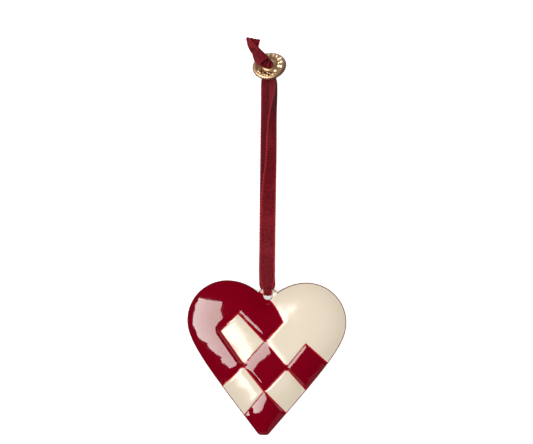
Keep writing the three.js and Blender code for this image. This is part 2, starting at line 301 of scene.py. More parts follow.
# x, y, z in mm, share of the full width, roll in degrees
RIBBON_ROUTE = [
    (-1.98, 109.8, 4.8, 0.46, 0),
    (-1.72, 108.9, 3.65, 0.48, 12),
    (-0.75, 107.2, 3.4, 0.66, 55),
    (0.4, 104.9, 3.8, 0.94, 80),
    (0.66, 102.5, 3.85, 1, 82),
    (0.5, 99, 3.8, 1, 77),
    (0.1, 95.5, 3.65, 1, 69),
    (-0.25, 91.5, 3.5, 1, 61),
    (-0.4, 87, 3.35, 1, 55),
    (-0.4, 82, 3.25, 1, 51),
    (-0.35, 77, 3.15, 1, 49),
    (-0.45, 72, 2.95, 1, 44),
    (-0.7, 68, 2.55, 1, 34),
    (-0.8, 63.5, 2.25, 1, 27),
    (-0.85, 58.5, 1.95, 1, 20),
    (-0.85, 53, 1.6, 1, 12),
    (-0.8, 47, 1.3, 1, 5),
    (-0.7, 42, 1.35, 1, 0),
    (-0.62, 37, 2, 1, 0),
    (-0.5, 32.5, 3, 1, 0),
    (-0.3, 29.5, 3.75, 0.9, 0),
    (-0.1, 27.2, 4.3, 0.7, 0),
    (0, 25.2, 4.35, 0.54, 0),
    (0, 23.85, 3.75, 0.45, 0),
    (0, 23.8, 2.6, 0.42, 0),
    (0, 25.2, 1.85, 0.7, 0),
    (-0.2, 27.2, 1.35, 0.98, 0),
    (-0.4, 29.5, 1.0, 1, 0),
    (-0.55, 32.5, 0.6, 1, 0),
    (-0.65, 37, 0.35, 1, 0),
    (-0.75, 43, 0.35, 1, 0),
    (-0.9, 50, 0.35, 1, 0),
    (-1.05, 57, 0.35, 1, 0),
    (-1.2, 64, 0.35, 1, 0),
    (-1.35, 71, 0.35, 1, 0),
    (-1.48, 78, 0.35, 1, 0),
    (-1.62, 85, 0.35, 1, 0),
    (-1.75, 92, 0.35, 1, 0),
    (-1.9, 98.5, 0.35, 1, 0),
    (-2, 103.5, 0.4, 1, 0),
    (-2.02, 106.6, 0.75, 0.9, 0),
    (-2.02, 108.7, 1.6, 0.68, 0),
    (-2.08, 110.1, 2.75, 0.48, 0),
    (-2.3, 111, 3.95, 0.46, 0),
]


def through(rows, t):
    """Catmull-Rom values at t (0 to 1) through rows that are evenly spaced in t."""
    rows = np.asarray(rows, float)
    place = np.clip(np.asarray(t, float), 0, 1) * (len(rows) - 1)
    k = np.minimum(place.astype(int), len(rows) - 2)
    f = (place - k)[:, None]
    before, after = rows[np.maximum(k - 1, 0)], rows[np.minimum(k + 2, len(rows) - 1)]
    a, b = rows[k], rows[k + 1]
    return 0.5 * (2 * a + (b - before) * f + (2 * before - 5 * a + 4 * b - after) * f**2
                  + (3 * a - before - 3 * b + after) * f**3)


def unit(vectors):
    return vectors / np.linalg.norm(vectors, axis=1, keepdims=True)


def run_frame(stations, t):
    """Centre, side and up of the run at each t, with its width share."""
    step = 1e-4
    values = through(stations, t)
    forward = unit(through(stations, np.minimum(t + step, 1))[:, :3]
                   - through(stations, np.maximum(t - step, 0))[:, :3])
    side = unit(np.array([1.0, 0, 0]) - forward * forward[:, :1])
    up = np.cross(forward, side)
    roll = np.radians(values[:, 4])[:, None]
    return (values[:, :3], side * np.cos(roll) - up * np.sin(roll),
            up * np.cos(roll) + side * np.sin(roll), values[:, 3])


# %% Bend the ribbon along its route
RIBBON_ALONG, RIBBON_ACROSS = 900, 32
PLEATS, PLEAT_HEIGHT = 1.5, 0.16 * MM
REAR_CUP, FRONT_CUP = 0.15 * MM, -0.9 * MM
REAR_LIFT = math.radians(44)  # how far the rear strand's right half stands up near the disc
LIFT_FROM, LIFT_OVER = 90, 6  # where that begins and how soon it is full, in mm along y
BEAD_SIZE, BEAD_PHASE = 0.06 * MM, 1300  # the phase in radians, over the whole ribbon
LOWEST_CLOTH = 0.2 * MM


def bend_cloth(t, across):
    """The cloth's points, and how far each lies to the right of its strand's middle."""
    centre, side, up, share = run_frame(RIBBON_ROUTE, t)
    gathered = np.clip(1 - share, 0, 1)
    pleat = PLEAT_HEIGHT * gathered**0.8 * np.cos(2 * np.pi * PLEATS * across)
    rear = t > 0.5
    y = centre[:, 1]
    lift = REAR_LIFT * np.clip((y - LIFT_FROM) / LIFT_OVER, 0, 1) * rear
    reach = across * RIBBON_WIDTH * share
    towards_right = np.maximum(reach * np.sign(side[:, 0]), 0)
    cup = (2 * across) ** 2 * np.where(rear, REAR_CUP * (1 - gathered), FRONT_CUP * gathered)
    facing = np.where(up[:, 2] >= 0, 1.0, -1.0)
    height = pleat + facing * (cup + towards_right * np.sin(lift))
    reach = reach - towards_right * np.sign(side[:, 0]) * (1 - np.cos(lift))
    beads = np.clip((np.abs(across) - 0.46) / 0.04, 0, 1) * np.sin(t * BEAD_PHASE)
    reach = reach + np.sign(reach) * beads * BEAD_SIZE
    points = centre * MM + side * reach[:, None] + up * height[:, None]
    points[:, 2] = np.maximum(points[:, 2], LOWEST_CLOTH)
    return points, towards_right


start_piece()
bpy.ops.mesh.primitive_grid_add(x_subdivisions=RIBBON_ALONG, y_subdivisions=RIBBON_ACROSS, size=1)
ribbon = bpy.context.object
flat = points_of(ribbon)
cloth_t, cloth_across = flat[:, 0] + 0.5, flat[:, 1]
cloth_points, to_the_right = bend_cloth(cloth_t, cloth_across)
move_points(ribbon, cloth_points)
route = through(RIBBON_ROUTE, np.linspace(0, 1, 2001))[:, :3]
ribbon_mm = np.linalg.norm(np.diff(route, axis=0), axis=1).sum()
print("ribbon loop is", round(ribbon_mm, 1), "mm long")

# %% [markdown]
# The cloth remembers where it is along and across the ribbon. It also stores painted shade where
# it stands on its edge or is creased, and a painted highlight where the rear strand's right half
# turns up into the light. Then it gets its thickness.

# %% Store the cloth's own measures and thicken it
# painted shade darkens the front strand's face past this roll
ON_EDGE_FROM = 50  # roll in degrees past which the front strand shows its shaded face


def store_shades(ribbon, t, across, towards_right):
    values = through(RIBBON_ROUTE, t)
    rear = t > 0.5
    y = values[:, 1]
    # painted shade on the front strand's face where it stands on its edge, and along the rear
    # strand's crease
    on_edge = np.clip((np.abs(values[:, 4]) - ON_EDGE_FROM) / 26, 0, 1) * 0.75
    on_edge = np.where(np.abs(across) > 0.44, on_edge * 0.35, on_edge)
    crease = np.exp(-((across * 6 / 0.25) ** 2)) * np.clip((y - 94) / 6, 0, 1) * rear
    # painted highlight where the rear strand's right half turns up
    risen = np.clip((y - 93) / 3, 0, 1) * rear
    store(ribbon, "shade", np.maximum(on_edge, 0.45 * crease))
    store(ribbon, "painted_highlight", risen * np.clip(towards_right / MM / 0.6, 0, 1))


store_shades(ribbon, cloth_t, cloth_across, to_the_right)
store(ribbon, "along", cloth_t * ribbon_mm)
store(ribbon, "across", cloth_across * RIBBON_WIDTH / MM)
apply_modifier(ribbon, "SOLIDIFY", thickness=RIBBON_THICKNESS, offset=0)
print("ribbon cloth has", len(ribbon.data.vertices), "points")

# %% [markdown]
# ### The ribbon's cloth
#
# It is a dull satin of a dark wine red, with very fine slanting ribs and a tight beaded selvedge,
# whose glints are painted as a row of pink dots. The colour wanders a little, and a sheen lifts the
# parts that turn away. The pattern follows the two attributes stored along and across the cloth, in
# millimetres, so it bends with the ribbon. Two more attributes paint light and shade into the
# colour:
# painted shade where the cloth lies deep in a fold or stands on its edge, and a painted highlight
# where its satin turns to the light.

# %% The ribbon's material
WINE = (0.205, 0.0075, 0.0145)
WINE_PALE_AND_HIGHLIGHT = (0.30, 0.018, 0.030)
WINE_DARK = (0.08, 0.0015, 0.005)
SELVEDGE_PAINTED_GLINT = (0.5, 0.034, 0.05)
PAINTED_SHADE_WINE = (0.02, 0.0006, 0.0015)
RIB_PITCH, THREAD_PITCH, BEAD_PITCH = 0.32, 0.21, 0.85


def wave_along(tree, distance, pitch):
    return maths(tree, "SINE", maths(tree, "MULTIPLY", distance, 2 * math.pi / pitch))


def ribbon_material():
    material, tree, shader = new_material("ribbon_satin")
    along, across = attribute(tree, "along"), attribute(tree, "across")
    slant = maths(tree, "ADD", along, maths(tree, "MULTIPLY", across, 0.55))
    ribs = wave_along(tree, slant, RIB_PITCH)
    threads = wave_along(tree, across, THREAD_PITCH)
    beads = wave_along(tree, along, BEAD_PITCH)
    edge = ramp(tree, maths(tree, "ABSOLUTE", across), 2.3, 2.6)
    cloud = noise_value(tree, 1500.0, 4.0, 0.7)
    wander = noise_value(tree, 120.0, 2.0)
    colour = mix_colours(tree, ramp(tree, cloud, 0.34, 0.6), WINE_DARK, WINE)
    # a paler wine at random, as the colour wanders
    colour = mix_colours(tree, ramp(tree, wander, 0.45, 0.8, 0.0, 0.35), colour, WINE_PALE_AND_HIGHLIGHT)
    # painted highlight: the selvedge beads' glints as pink dots
    dots = maths(tree, "MULTIPLY", edge, ramp(tree, beads, -0.4, 0.7, 0.1, 1.0))
    colour = mix_colours(tree, dots, colour, SELVEDGE_PAINTED_GLINT)
    # painted highlight where the satin turns to the light
    painted_highlight = maths(tree, "MULTIPLY", attribute(tree, "painted_highlight"), 0.5)
    colour = mix_colours(tree, painted_highlight, colour, WINE_PALE_AND_HIGHLIGHT)
    # painted shade in folds and on faces turned away from the light
    colour = mix_colours(tree, attribute(tree, "shade"), colour, PAINTED_SHADE_WINE)
    tree.links.new(colour, shader.inputs["Base Color"])
    selvedge = maths(tree, "MULTIPLY", edge, maths(tree, "ADD", beads, 1.5))
    weave = maths(tree, "ADD", maths(tree, "MULTIPLY", ribs, 0.5),
                  maths(tree, "MULTIPLY", threads, 0.35))
    weave = maths(tree, "ADD", weave, selvedge)
    weave = maths(tree, "ADD", weave, maths(tree, "MULTIPLY", cloud, 1.2))
    bump(tree, shader, weave, distance=0.035 * MM, strength=0.9)
    shader.inputs["Roughness"].default_value = 0.7
    shader.inputs["Specular IOR Level"].default_value = 0.04
    shader.inputs["Sheen Weight"].default_value = 0.04
    shader.inputs["Sheen Roughness"].default_value = 0.4
    shader.inputs["Sheen Tint"].default_value = (0.9, 0.35, 0.4, 1)
    return material


RIBBON_CLOTH = ribbon_material()
finish_piece(ribbon, "ribbon_loop_cloth", RIBBON_CLOTH, angle=70)
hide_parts("ribbon_loop")

# %% [markdown]
# ## The heart's outline and its pillow
#
# The heart is drawn from two lobes, two gently bowed sides and a blunt tip, with a round tab for
# the eyelet in the cleft. For any point we need its distance in from the edge. The plain distance
# has a crease along the middle, so further in we use an inverse-power mean of the distances to the
# whole edge, which swells like blown metal does.

# %% Outline of the heart, in millimetres
LOBE_X, LOBE_Y, LOBE_OUTER, LOBE_INNER = 15.0, 13.9, 15.0, 17.9
LOBE_TOP = LOBE_Y + LOBE_OUTER
NOTCH = (3.6, 24.8)
SIDE = ((26.4, 1.25), (17.9, -8.9), (7.9, -21.4))
TIP = ((2.14, -28.54), (1.69, -29.1), (0.97, -29.1))
SIDE_POINTS, FLANK_POINTS, TIP_POINTS = 150, 36, 8
TAB_RADIUS = 4.5
TAB_Y = NOTCH[1] - math.sqrt(TAB_RADIUS**2 - NOTCH[0] ** 2)
EYELET_RADIUS, EYELET_ROUNDING, EYELET_WALL = 1.6, 0.22, 1.4
EYELET_Y = TAB_Y + TAB_RADIUS - EYELET_WALL - EYELET_RADIUS
RIM_BOTTOM, RIM_TOP, RIM_WIDTH, RIM_ROUNDING = 2.6, 3.6, 0.14, 0.25
CHUNK = 4000  # how many points are measured at a time, which keeps the arrays small


def arc(x, y, radius, start, stop, spacing=0.25):
    count = max(2, int(abs(stop - start) * radius / spacing))
    angles = np.linspace(start, stop, count)
    return np.stack([x + radius * np.cos(angles), y + radius * np.sin(angles)], 1)


def bezier(controls, count):
    p, q, r, s = (np.asarray(c, float) for c in controls)
    t = np.linspace(0, 1, count)[:, None]
    return p * (1 - t) ** 3 + 3 * q * t * (1 - t) ** 2 + 3 * r * t**2 * (1 - t) + s * t**3


def heart_outline(start):
    inner_y = LOBE_TOP - LOBE_INNER
    notch_angle = math.atan2(NOTCH[1] - inner_y, NOTCH[0] - LOBE_X)
    outer = arc(LOBE_X, LOBE_Y, LOBE_OUTER, math.pi / 2, math.radians(-20))
    corner = [TIP[0], np.add(TIP[0], TIP[1]) / 2, np.add(TIP[1], TIP[2]) / 2, TIP[2]]
    half = np.concatenate([
        start,
        arc(LOBE_X, inner_y, LOBE_INNER, notch_angle, math.pi / 2),
        outer,
        bezier([outer[-1], *SIDE], SIDE_POINTS),
        np.linspace(SIDE[-1], TIP[0], FLANK_POINTS),
        bezier(corner, TIP_POINTS),
    ])
    closed = np.concatenate([half, half[::-1] * (-1, 1)])
    gaps = np.linalg.norm(closed - np.roll(closed, 1, axis=0), axis=1)
    return closed[gaps > 1e-4]


CLEFT_Y = EYELET_Y - EYELET_RADIUS - RIM_ROUNDING + RIM_WIDTH
tab_start = math.atan2(NOTCH[1] - TAB_Y, NOTCH[0])
OUTLINE = heart_outline(arc(0, TAB_Y, TAB_RADIUS, math.pi / 2, tab_start))
PILLOW_OUTLINE = heart_outline(np.linspace((0, CLEFT_Y), NOTCH, 16))
print("outline has", len(OUTLINE), "points")


# %% Distances
def to_segments(points, starts, ends):
    """Distance and offset from each point to each segment."""
    run = ends - starts
    offset = points[:, None] - starts[None]
    along = np.clip((offset * run).sum(2) / (run**2).sum(1), 0, 1)
    away = offset - along[:, :, None] * run
    return np.linalg.norm(away, axis=2), away


def inside(points, polygon):
    x, y = points[:, :1], points[:, 1:]
    a, b = polygon, np.roll(polygon, -1, axis=0)
    spans = (a[:, 1] > y) != (b[:, 1] > y)
    rise = np.where(b[:, 1] == a[:, 1], 1e-12, b[:, 1] - a[:, 1])
    left = x < a[:, 0] + (y - a[:, 1]) / rise * (b[:, 0] - a[:, 0])
    return (spans & left).sum(1) % 2 == 1


def signed_distance(points, polygon):
    """Distance to a polygon's edge, positive inside."""
    found = []
    for part in np.array_split(points, max(1, len(points) // CHUNK)):
        least = to_segments(part, polygon, np.roll(polygon, -1, axis=0))[0].min(1)
        found.append(np.where(inside(part, polygon), least, -least))
    return np.concatenate(found)


def smooth_inset(points, polygon):
    """Distance in from the edge, without a crease along the middle."""
    middle = (polygon + np.roll(polygon, -1, axis=0)) / 2
    length = np.linalg.norm(polygon - np.roll(polygon, -1, axis=0), axis=1)
    near = signed_distance(points, polygon)
    found = []
    for part in np.array_split(points, max(1, len(points) // CHUNK)):
        square = ((part[:, None] - middle[None]) ** 2).sum(2)
        found.append((length / np.maximum(square, 1e-2) ** 2).sum(1))
    mean = (np.concatenate(found) / (math.pi / 2)) ** (-1 / 3)
    blend = np.clip((near - 0.8) / 1.2, 0, 1)
    blend = blend**2 * (3 - 2 * blend)
    return np.where(near > 0, near * (1 - blend) + mean * blend, near)


# %% [markdown]
# ## The weave
#
# Three red strips run down to the right and three cream ones down to the left. Their borders cross
# at sixteen corners, and every point of the heart has a place (u, v) in that net. Where two strips
# meet, the one on top has a narrow rounded side, and the other dives under it in a long slope that
# catches the light.

# %% The net of the weave
WEAVE = np.array([
    [(-3.6, 24.8), (-10.9, 16.95), (-17.6, 9.9), (-25.2, 1.6)],
    [(5.9, 14.05), (-0.4, 6.4), (-8.2, -2.7), (-16.3, -11)],
    [(14.9, 5.9), (8, -3.1), (-0.1, -12.3), (-7.5, -22.2)],
    [(23.1, -1.1), (15.8, -11.6), (8.2, -20.6), (0, -31.2)],
])
STRIPS = 3
SHOULDER, SHOULDER_WAY = 1.3, np.array([0.64, 0.77])


def weave_point(u, v):
    """Where the place (u, v) of the net is, with the rounded shoulder beside the cleft."""
    u, v = np.asarray(u, float), np.asarray(v, float)
    i = np.clip(np.floor(u).astype(int), 0, STRIPS - 1)
    j = np.clip(np.floor(v).astype(int), 0, STRIPS - 1)
    fu, fv = (u - i)[..., None], (v - j)[..., None]
    near = WEAVE[i, j] * (1 - fv) + WEAVE[i, j + 1] * fv
    far = WEAVE[i + 1, j] * (1 - fv) + WEAVE[i + 1, j + 1] * fv
    arch = np.maximum(0, 4 * u * (1 - u)) * np.maximum(0, 1 - np.abs(v)) * SHOULDER
    return near * (1 - fu) + far * fu + arch[..., None] * SHOULDER_WAY


def weave_line(start, stop, count=12):
    t = np.linspace(0, 1, count)
    return weave_point(start[0] + (stop[0] - start[0]) * t, start[1] + (stop[1] - start[1]) * t)


# %% [markdown]
# The strip on top ends in a steep rounded side, and the one that dives slopes down to it from
# further away. Most borders are alike, and a few of them differ: the big lobes stay almost flush,
# and the first cream square slopes away over half of its length.

# %% Grooves where the strips meet
GROOVE_FLOOR, GROOVE_END = 0.1, 1.0
USUAL_GROOVE = (0.9, 1.1, 3.8)  # depth, width on the top strip's side, width on the diving side
OTHER_GROOVES = {
    ((0, 0), (1, 0)): (0.35, 1.0, 3.0),
    ((0, 1), (1, 1)): (0.8, 2.0, 3.0),
    ((0, 2), (1, 2)): (1.9, 1.1, 9.0),
    ((1, 1), (1, 2)): (1.2, 1.1, 5.4),
    ((1, 2), (1, 3)): (0.55, 1.0, 2.6),
    ((0, 1), (0, 2)): (0.5, 1.0, 2.6),
    ((1, 2), (2, 2)): (0.8, 1.5, 3.0),
    ((1, 1), (2, 1)): (0.45, 1.0, 3.0),
    ((2, 0), (2, 1)): (0.5, 1.0, 1.5),
    ((1, 0), (1, 1)): (0.7, 1.0, 3.4),
    ((2, 0), (3, 0)): (0.5, 1.0, 3.0),
}


def borders():
    """Each border's two corners, and the side, in the net, on which the strip dives."""
    for i in range(STRIPS):
        for j in range(STRIPS):
            red_on_top = (i + j) % 2 == 0
            if (i, j) != (1, 0):
                yield (i, j), (i + 1, j), (0, -1) if red_on_top else (0, 1)
            if i > 0 or j == 1:
                yield (i, j), (i, j + 1), (1, 0) if red_on_top else (-1, 0)


def groove_depth(points):
    deepest = np.zeros(len(points))
    for start, stop, dips in borders():
        depth, rounding, dive = OTHER_GROOVES.get((start, stop), USUAL_GROOVE)
        line = weave_line(start, stop)
        middle = (np.array(start) + stop) / 2
        beside = weave_point(*(middle + 0.3 * np.array(dips))) - weave_point(*middle)
        ends = unit(np.array([line[0] - line[1], line[-1] - line[-2]]))
        beyond = np.maximum((points - line[0]) @ ends[0], (points - line[-1]) @ ends[1])
        beyond = np.clip(beyond / GROOVE_END, 0, 1)
        for p, q in zip(line[:-1], line[1:]):
            distance, away = to_segments(points, p[None], q[None])
            distance, away = distance[:, 0], away[:, 0]
            length = np.linalg.norm(away, axis=1) * np.linalg.norm(beside)
            facing = (away @ beside / np.maximum(length, 1e-9) + 1) / 2
            width = rounding + (dive - rounding) * facing**2 * (3 - 2 * facing)
            width = width * (1 - beyond) + GROOVE_END * beyond
            soft = np.sqrt(distance**2 + GROOVE_FLOOR**2) - GROOVE_FLOOR
            deepest = np.maximum(deepest, depth * (1 - np.minimum(soft / width, 1)) ** 2)
    return deepest


# %% [markdown]
# The front rises steeply from the rim and flattens towards its highest part, as pressed metal does,
# and the grooves are taken off it. On the small tab its foot is softened. The back is the same
# swelling turned down, lower and smooth.

# %% Heights of the front and the back
PILLOW_HEIGHT, PILLOW_RUN, BACK_DEPTH, BACK_RUN = 5.4, 13.2, 2.6, 7.0
FILLET = 0.6  # softens the foot of the pillow on the tab
SPILL = 1.5  # how far past the outline the slope runs on, for the cutter to trim


def front_height(points):
    depth = np.maximum(smooth_inset(points, PILLOW_OUTLINE) - RIM_WIDTH, -SPILL)
    eased = (depth + np.sqrt(depth**2 + FILLET**2)) / 2
    from_tab = np.linalg.norm(points - (0, TAB_Y), axis=1) - TAB_RADIUS
    on_tab = np.clip(1 - from_tab, 0, 1)
    depth = depth * (1 - on_tab) + eased * on_tab
    rise = 1 - (1 - np.minimum(depth / PILLOW_RUN, 1)) ** 2.2
    groove = groove_depth(points) * np.clip(rise * 3, 0, 1)
    return np.maximum(RIM_TOP + PILLOW_HEIGHT * rise - groove, RIM_BOTTOM + 0.3)


def back_height(points):
    depth = smooth_inset(points, PILLOW_OUTLINE) - RIM_WIDTH
    eased = np.clip(depth / BACK_RUN, 0, 1)
    return RIM_BOTTOM - BACK_DEPTH * (1 - (1 - eased) ** 2)


# %% [markdown]
# ### Modelling the heart
#
# The heart starts as one flat grid, laid over the weave's net so that its edges run along the
# strips. It is extruded downwards for the back, the two faces get their heights, and a cutter with
# the heart's outline and softly rounded edges trims it. Last the eyelet is drilled.

# %% Grid over the weave, raised to the pillow
NET_STEPS = 40
U_RANGE, V_RANGE = (-1.8, 3.35), (-2.4, 3.35)


def make_pillow():
    start_piece()
    counts = [int((high - low) * NET_STEPS) for low, high in (U_RANGE, V_RANGE)]
    bpy.ops.mesh.primitive_grid_add(x_subdivisions=counts[0], y_subdivisions=counts[1], size=1)
    pillow = bpy.context.object
    extrude_all(-1)
    both = points_of(pillow)
    lower = both[:, 2] < -0.5
    u = U_RANGE[0] + (both[:, 0] + 0.5) * (U_RANGE[1] - U_RANGE[0])
    v = V_RANGE[0] + (0.5 - both[:, 1]) * (V_RANGE[1] - V_RANGE[0])
    place = weave_point(u, v)
    height = np.empty(len(both))
    height[~lower] = front_height(place[~lower])
    height[lower] = back_height(place[lower])
    move_points(pillow, np.column_stack([place, height]) * MM)
    face_outwards()
    return pillow


pillow = make_pillow()
print("pillow spans", [round(x / MM, 1) for x in pillow.dimensions])

# %% [markdown]
# The grid is far larger than the heart, so it is trimmed as with a pastry cutter: a closed prism
# with the heart's outline, whose sides bulge a little to round the rim. A second, narrower one
# drills the eyelet. Each starts as a flat circle with one point for each point of the outline, is
# extruded ring by ring, and its rings are then moved to the outline.

# %% A cutter with any outline, built ring by ring
def make_cutter(outline, rings):
    """A closed prism: each ring is (height, inset from the outline), in mm, from the bottom up."""
    start_piece()
    bpy.ops.mesh.primitive_circle_add(vertices=len(outline), radius=1, fill_type="NGON")
    cutter = bpy.context.object
    extrude_all(1, times=len(rings) - 1)
    made = points_of(cutter)
    ring = np.rint(made[:, 2]).astype(int)
    around = np.empty(len(made), int)
    for k in range(len(rings)):
        chosen = np.flatnonzero(ring == k)
        in_order = chosen[np.argsort(np.arctan2(made[chosen, 1], made[chosen, 0]))]
        around[in_order] = range(len(chosen))
    tangent = unit(np.roll(outline, -1, axis=0) - np.roll(outline, 1, axis=0))
    inward = np.stack([tangent[:, 1], -tangent[:, 0]], 1)
    heights, insets = np.array(rings).T
    place = outline[around] + inward[around] * insets[ring][:, None]
    move_points(cutter, np.column_stack([place, heights[ring]]) * MM)
    face_outwards()
    return cutter


def rounded(radius, sign, last_turn=math.pi / 2):
    """Rings with rounded edges at the rim's bottom and top; sign is -1 for a hole."""
    turns = np.linspace(0, math.pi / 2, 5)
    lower = [(RIM_BOTTOM + radius * (1 - math.cos(a)), sign * radius * (1 - math.sin(a)))
             for a in turns]
    upper = [(RIM_TOP - radius * (1 - math.sin(a)), sign * radius * (1 - math.cos(a)))
             for a in turns if a <= last_turn]
    return lower + upper


CUT_FROM, CUT_TO = -5, 15  # heights in mm well below and above the heart
rim = rounded(RIM_ROUNDING, 1, last_turn=math.radians(46))
outer_rings = [(CUT_FROM, RIM_ROUNDING), *rim, (CUT_TO, rim[-1][1])]
cut_with(pillow, make_cutter(OUTLINE, outer_rings), "INTERSECT")
eyelet = arc(0, EYELET_Y, EYELET_RADIUS, math.pi, -math.pi, 0.12)[:-1]
eyelet_rings = [(CUT_FROM, -EYELET_ROUNDING), *rounded(EYELET_ROUNDING, -1),
                (CUT_TO, -EYELET_ROUNDING)]
cut_with(pillow, make_cutter(eyelet, eyelet_rings), "DIFFERENCE")
print("heart spans", [round(x / MM, 1) for x in pillow.dimensions])

# %% [markdown]
# ### Where the enamel is cream
#
# The whole heart is dipped in red, and the cream is filled in on top of it, a little short of each
# groove. So we store how far each point is inside a cream field. Where two cream squares meet
# corner to corner, the red runs through between them in a narrow neck.

# %% Store the distance into the cream fields
CREAM_SHORT = 0.38
NECKS = {(1, 1): 0.72, (1, 2): 0.95, (2, 1): 1.2, (2, 2): 0.42}


def field_edge(*corners):
    sides = [weave_line(a, b) for a, b in zip(corners, corners[1:] + corners[:1])]
    return np.concatenate([side[:-1] for side in sides])


LOBE_FIELD = np.concatenate([
    weave_line((0, 0), (1, 0)), weave_line((1, 0), (1, 1))[1:],
    weave_line((1, 1), (2, 1))[1:], weave_line((2, 1), (2, 0))[1:],
    weave_line((2, 0), (3.35, 0))[1:], [(50, 0), (50, 50), (-12, 50), (-6.2, 27.5)],
])
CREAM_FIELDS = [
    LOBE_FIELD,
    field_edge((0, 1), (0, 2), (1, 2), (1, 1)),
    field_edge((1, 2), (1, 3.35), (2, 3.35), (2, 2)),
    field_edge((2, 1), (2, 2), (3.35, 2), (3.35, 1)),
]


def cream_depth(points):
    depth = np.max([signed_distance(points, field) for field in CREAM_FIELDS], axis=0)
    depth -= CREAM_SHORT
    for corner, reach in NECKS.items():
        away = np.linalg.norm(points - WEAVE[corner], axis=1)
        depth = np.minimum(depth, away - reach)
    return np.clip(depth, -3, 3)


heart_points = points_of(pillow) / MM
store(pillow, "cream", cream_depth(heart_points[:, :2]))
to_edge = signed_distance(heart_points[:, :2], OUTLINE)
to_eyelet = -signed_distance(heart_points[:, :2], eyelet)
edge = np.minimum(to_edge, to_eyelet)
store(pillow, "edge", np.where(heart_points[:, 2] > RIM_TOP - RIM_ROUNDING - 0.1, edge, 0))
print("cream fields:", len(CREAM_FIELDS))

# %% [markdown]
# ### Enamel
#
# The two colours share one glassy finish, and the cream is a little duller. A thin band of
# brighter red along each cream field is a painted highlight. Slow unevenness in the bump makes the
# edges of the reflections wander, as they do on enamel that was dipped by hand.

# %% The enamel material
RED = (0.21, 0.0, 0.009)
RED_DEEP = (0.17, 0.0, 0.0075)
RED_EDGE_HIGHLIGHT = (0.5, 0.012, 0.02)
RED_RIM = (0.17, 0.012, 0.012)
CREAM = (0.805, 0.7, 0.55)
PIT_DARK = (0.12, 0.004, 0.008)


def enamel_material():
    material, tree, shader = new_material("heart_enamel")
    wander = maths(tree, "MULTIPLY", maths(tree, "SUBTRACT", noise_value(tree, 700.0), 0.5), 0.16)
    depth = maths(tree, "ADD", attribute(tree, "cream"), wander)
    front = ramp(tree, attribute(tree, "edge"), 0.27, 0.38)
    cream = maths(tree, "MULTIPLY", ramp(tree, depth, -0.05, 0.05), front)
    # painted highlight: brighter red in a thin band beside each cream field
    near = maths(tree, "MULTIPLY", ramp(tree, depth, -0.75, -0.2), front)
    tone = noise_value(tree, 60.0, 2.0)
    red = mix_colours(tree, ramp(tree, tone, 0.35, 0.8, 0, 0.25), RED, RED_DEEP)
    red = mix_colours(tree, maths(tree, "MULTIPLY", near, 0.9), red, RED_EDGE_HIGHLIGHT)
    red = mix_colours(tree, ramp(tree, front, 0, 1, 1, 0), red, RED_RIM)
    pits = use_group(tree, SPECKLE, Scale=520.0, Size=0.09, Share=0.05)
    colour = mix_colours(tree, cream, red, CREAM)
    dark = maths(tree, "MULTIPLY", pits, 0.45)
    colour = mix_colours(tree, dark, colour, PIT_DARK)
    tree.links.new(colour, shader.inputs["Base Color"])
    wave = use_group(tree, UNEVENNESS, Scale=150.0, Depth=0.3 * MM)
    fine = use_group(tree, UNEVENNESS, Scale=800.0, Depth=0.018 * MM)
    sunk = maths(tree, "MULTIPLY", pits, -0.03 * MM)
    bump(tree, shader, maths(tree, "ADD", maths(tree, "ADD", wave, fine), sunk))
    tree.links.new(ramp(tree, cream, 0, 1, 0.07, 0.2), shader.inputs["Roughness"])
    shader.inputs["Specular IOR Level"].default_value = 0.5
    return material


finish_piece(pillow, "enamelled_heart", enamel_material(), angle=45)
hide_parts("heart")

# %% [markdown]
# ## The brass disc
#
# A cast brass disc with a hole in its middle, like an old coin. It has a raised collar, a hollow
# field and a raised milled edge. On the field stand short worn strokes, made here as soft relief on
# a finely divided ring. The ring starts as a torus, because that is already a closed ring.

# %% The disc's shape
DISC_CENTRE = np.array([-2.1, 110.2, 4.07]) * MM
DISC_NORMAL = np.array([-0.160, 0.566, 0.809])
DISC_ACROSS = np.array([0.962, 0.272, 0.0])
DISC_PROFILE = [
    (1.5, -0.3), (1.46, 0.3), (1.6, 0.58), (1.9, 0.68), (2.25, 0.6), (2.65, 0.42), (3.4, 0.33),
    (4.3, 0.37), (4.9, 0.47), (5.3, 0.53), (5.65, 0.47), (5.95, 0.33), (6.2, 0.12), (6.37, -0.15),
    (6.33, -0.4), (6.15, -0.58), (5.85, -0.66), (5.5, -0.5), (4.5, -0.4), (2.8, -0.4),
    (2.4, -0.6), (2.1, -0.68), (1.85, -0.55),
]
DISC_AROUND, DISC_RING = 420, 92
DISC_FRONT = 0.2  # above this height in the profile is the disc's front
FIELD_FROM, FIELD_TO = 2.9, 5.9
RIM_FROM, RIM_OVER = 6.0, 0.3
RIPPLES, RIPPLE = 42, 0.17  # of the milled edge
MILLED_FROM, MILLED_OVER = 5.95, 0.35
LOWEST_BRASS = 0.05 * MM


